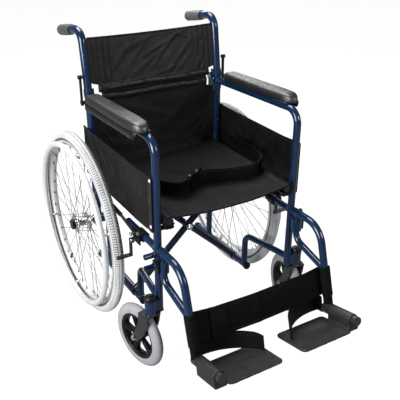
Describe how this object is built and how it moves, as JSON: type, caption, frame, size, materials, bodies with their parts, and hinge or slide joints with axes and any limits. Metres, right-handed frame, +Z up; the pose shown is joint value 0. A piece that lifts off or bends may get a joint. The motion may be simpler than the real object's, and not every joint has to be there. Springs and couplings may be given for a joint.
{
  "type": "folding wheelchair",
  "caption": "Folding self-propelled wheelchair: tube side frames, cross brace, sling seat and back, large spoked wheels with hand rims, swivel castors, swing-away footrests and wheel locks.",
  "frame": {"origin": "on the floor, under the middle of the chair's overall length and width", "axes": "+Z up; the chair faces -Y; the sitter's right hand side is -X"},
  "size_m": [0.645, 1.0542, 0.909],
  "materials": {
    "frame_blue": "gloss enamel with metal flake",
    "brace_blue": "gloss enamel",
    "bright_metal": "satin, bright",
    "spoke_steel": "bright drawn wire",
    "tyre_grey": "grey solid tyre",
    "black_plastic": "moulded, fine grain",
    "grip_rubber": "ribbed moulding",
    "pad_black": "grained skin over foam",
    "grey_metal": "dark grey enamel",
    "grey_plastic": "textured",
    "black_nylon": "woven nylon",
    "webbing": "woven webbing"
  },
  "bodies": {
    "frame_right": {"back_tube_right": "frame_blue", "arm_tube_right": "frame_blue", "lower_frame_right": "frame_blue", "black_fittings_right": "black_plastic", "axle_right": "bright_metal", "arm_pad_right": "pad_black", "side_panel_right": "black_nylon", "back_lower": "black_nylon"},
    "back_right": {"push_handle_right": "frame_blue", "grip_right": "grip_rubber", "back_upper": "black_nylon"},
    "release_right": {"back_release_right": "black_plastic"},
    "wheel_right": {"tyre_right": "tyre_grey", "rim_right": "bright_metal", "spokes_right": "spoke_steel", "hub_right": "bright_metal", "hand_rim_right": "bright_metal"},
    "castor_swivel_right": {"castor_fork_right": "grey_metal"},
    "castor_wheel_right": {"castor_tyre_right": "tyre_grey", "castor_hub_right": "black_plastic"},
    "lock_lever_right": {"lock_lever_right": "black_plastic"},
    "lock_shoe_right": {"lock_shoe_right": "bright_metal"},
    "hanger_right": {"hanger_right": "frame_blue", "calf_strap_right": "webbing"},
    "latch_right": {"hanger_latch_right": "black_plastic"},
    "footrest_right": {"footrest_tube_right": "grey_metal"},
    "footplate_right": {"footplate_right": "grey_plastic", "heel_loop_right": "webbing"},
    "frame_left": {"back_tube_left": "frame_blue", "arm_tube_left": "frame_blue", "lower_frame_left": "frame_blue", "black_fittings_left": "black_plastic", "axle_left": "bright_metal", "arm_pad_left": "pad_black", "side_panel_left": "black_nylon"},
    "back_left": {"push_handle_left": "frame_blue", "grip_left": "grip_rubber"},
    "release_left": {"back_release_left": "black_plastic"},
    "wheel_left": {"tyre_left": "tyre_grey", "rim_left": "bright_metal", "spokes_left": "spoke_steel", "hub_left": "bright_metal", "hand_rim_left": "bright_metal"},
    "castor_swivel_left": {"castor_fork_left": "grey_metal"},
    "castor_wheel_left": {"castor_tyre_left": "tyre_grey", "castor_hub_left": "black_plastic"},
    "lock_lever_left": {"lock_lever_left": "black_plastic"},
    "lock_shoe_left": {"lock_shoe_left": "bright_metal"},
    "hanger_left": {"hanger_left": "frame_blue", "calf_strap_left": "webbing"},
    "latch_left": {"hanger_latch_left": "black_plastic"},
    "footrest_left": {"footrest_tube_left": "grey_metal"},
    "footplate_left": {"footplate_left": "grey_plastic", "heel_loop_left": "webbing"},
    "cross_a": {"cross_brace_a": "brace_blue"},
    "cross_b": {"cross_brace_b": "brace_blue", "seat_sling": "black_nylon", "lap_belt_right": "webbing", "lap_belt_left": "webbing"}
  },
  "joints": [
    {"name": "fold", "type": "hinge", "parent": "frame_right", "child": "cross_a", "pos_m": [-0.195, 0.0895, 0.119], "axis": [0, -1, 0], "range_deg": [0, 36], "deforming": ["seat_sling", "back_upper", "back_lower", "calf_strap_right", "calf_strap_left", "lap_belt_right", "lap_belt_left"]},
    {"name": "cross_pivot", "type": "hinge", "parent": "cross_a", "child": "cross_b", "pos_m": [0, 0.047, 0.3015], "axis": [0, -1, 0], "range_deg": [-72, 0]},
    {"name": "left_frame_hinge", "type": "hinge", "parent": "cross_b", "child": "frame_left", "pos_m": [0.195, 0.1135, 0.119], "axis": [0, -1, 0], "range_deg": [0, 36]},
    {"name": "back_fold", "type": "hinge", "parent": "frame_right", "child": "back_right", "pos_m": [-0.212, 0.242, 0.709], "axis": [-1, 0, 0], "range_deg": [0, 90]},
    {"name": "back_release_right", "type": "hinge", "parent": "frame_right", "child": "release_right", "pos_m": [-0.248, 0.228, 0.694], "axis": [-1, 0, 0], "range_deg": [0, 20], "stiffness_Nm_per_rad": 0.2},
    {"name": "wheel_right_spin", "type": "hinge", "parent": "frame_right", "child": "wheel_right", "pos_m": [-0.282, 0.226, 0.3], "axis": [1, 0, 0], "continuous": true},
    {"name": "castor_right_swivel", "type": "hinge", "parent": "frame_right", "child": "castor_swivel_right", "pos_m": [-0.257, -0.204, 0.228], "axis": [0, 0, 1], "continuous": true},
    {"name": "castor_right_roll", "type": "hinge", "parent": "castor_swivel_right", "child": "castor_wheel_right", "pos_m": [-0.26823, -0.15118, 0.1], "axis": [0.9781, 0.2079, 0], "continuous": true},
    {"name": "wheel_lock_right", "type": "hinge", "parent": "frame_right", "child": "lock_lever_right", "pos_m": [-0.25, -0.104, 0.412], "axis": [1, 0, 0], "range_deg": [0, 50]},
    {"name": "lock_shoe_right_swing", "type": "hinge", "parent": "frame_right", "child": "lock_shoe_right", "pos_m": [-0.256, -0.104, 0.392], "axis": [1, 0, 0], "range_deg": [0, 6.2]},
    {"name": "hanger_right_swing", "type": "hinge", "parent": "frame_right", "child": "hanger_right", "pos_m": [-0.226, -0.231, 0.367], "axis": [0, 0, 1], "range_deg": [-88, 0]},
    {"name": "hanger_latch_right_press", "type": "hinge", "parent": "frame_right", "child": "latch_right", "pos_m": [-0.244, -0.231, 0.367], "axis": [1, 0, 0], "range_deg": [0, 25], "stiffness_Nm_per_rad": 0.1},
    {"name": "footrest_right_length", "type": "slide", "parent": "hanger_right", "child": "footrest_right", "axis": [0, -0.2924, -0.9563], "range_m": [0, 0.06]},
    {"name": "footplate_right_flip", "type": "hinge", "parent": "footrest_right", "child": "footplate_right", "pos_m": [-0.222, -0.46159, 0.18437], "axis": [0, -0.9744, 0.225], "range_deg": [0, 90], "deforming": ["heel_loop_right"]},
    {"name": "back_fold_left", "type": "hinge", "parent": "frame_left", "child": "back_left", "pos_m": [0.212, 0.242, 0.709], "axis": [-1, 0, 0], "range_deg": [0, 90]},
    {"name": "back_release_left", "type": "hinge", "parent": "frame_left", "child": "release_left", "pos_m": [0.248, 0.228, 0.694], "axis": [-1, 0, 0], "range_deg": [0, 20], "stiffness_Nm_per_rad": 0.2},
    {"name": "wheel_left_spin", "type": "hinge", "parent": "frame_left", "child": "wheel_left", "pos_m": [0.282, 0.226, 0.3], "axis": [1, 0, 0], "continuous": true},
    {"name": "castor_left_swivel", "type": "hinge", "parent": "frame_left", "child": "castor_swivel_left", "pos_m": [0.257, -0.204, 0.228], "axis": [0, 0, 1], "continuous": true},
    {"name": "castor_left_roll", "type": "hinge", "parent": "castor_swivel_left", "child": "castor_wheel_left", "pos_m": [0.26823, -0.15118, 0.1], "axis": [0.9781, -0.2079, 0], "continuous": true},
    {"name": "wheel_lock_left", "type": "hinge", "parent": "frame_left", "child": "lock_lever_left", "pos_m": [0.25, -0.104, 0.412], "axis": [1, 0, 0], "range_deg": [0, 50]},
    {"name": "lock_shoe_left_swing", "type": "hinge", "parent": "frame_left", "child": "lock_shoe_left", "pos_m": [0.256, -0.104, 0.392], "axis": [1, 0, 0], "range_deg": [0, 6.2]},
    {"name": "hanger_left_swing", "type": "hinge", "parent": "frame_left", "child": "hanger_left", "pos_m": [0.226, -0.231, 0.367], "axis": [0, 0, 1], "range_deg": [0, 88]},
    {"name": "hanger_latch_left_press", "type": "hinge", "parent": "frame_left", "child": "latch_left", "pos_m": [0.244, -0.231, 0.367], "axis": [1, 0, 0], "range_deg": [0, 25], "stiffness_Nm_per_rad": 0.1},
    {"name": "footrest_left_length", "type": "slide", "parent": "hanger_left", "child": "footrest_left", "axis": [0, -0.2924, -0.9563], "range_m": [0, 0.06]},
    {"name": "footplate_left_flip", "type": "hinge", "parent": "footrest_left", "child": "footplate_left", "pos_m": [0.222, -0.46159, 0.18437], "axis": [0, 0.9744, -0.225], "range_deg": [0, 90], "deforming": ["heel_loop_left"]}
  ],
  "couplings": [
    {"joint": "cross_pivot", "follows": "fold", "ratio": -2},
    {"joint": "left_frame_hinge", "follows": "fold", "ratio": 1},
    {"joint": "lock_shoe_right_swing", "follows": "wheel_lock_right", "ratio": 0.124},
    {"joint": "footplate_right_flip", "follows": "fold", "ratio": 2.5},
    {"joint": "lock_shoe_left_swing", "follows": "wheel_lock_left", "ratio": 0.124},
    {"joint": "footplate_left_flip", "follows": "fold", "ratio": 2.5},
    {"joint": "back_fold_left", "follows": "back_fold", "ratio": 1}
  ]
}
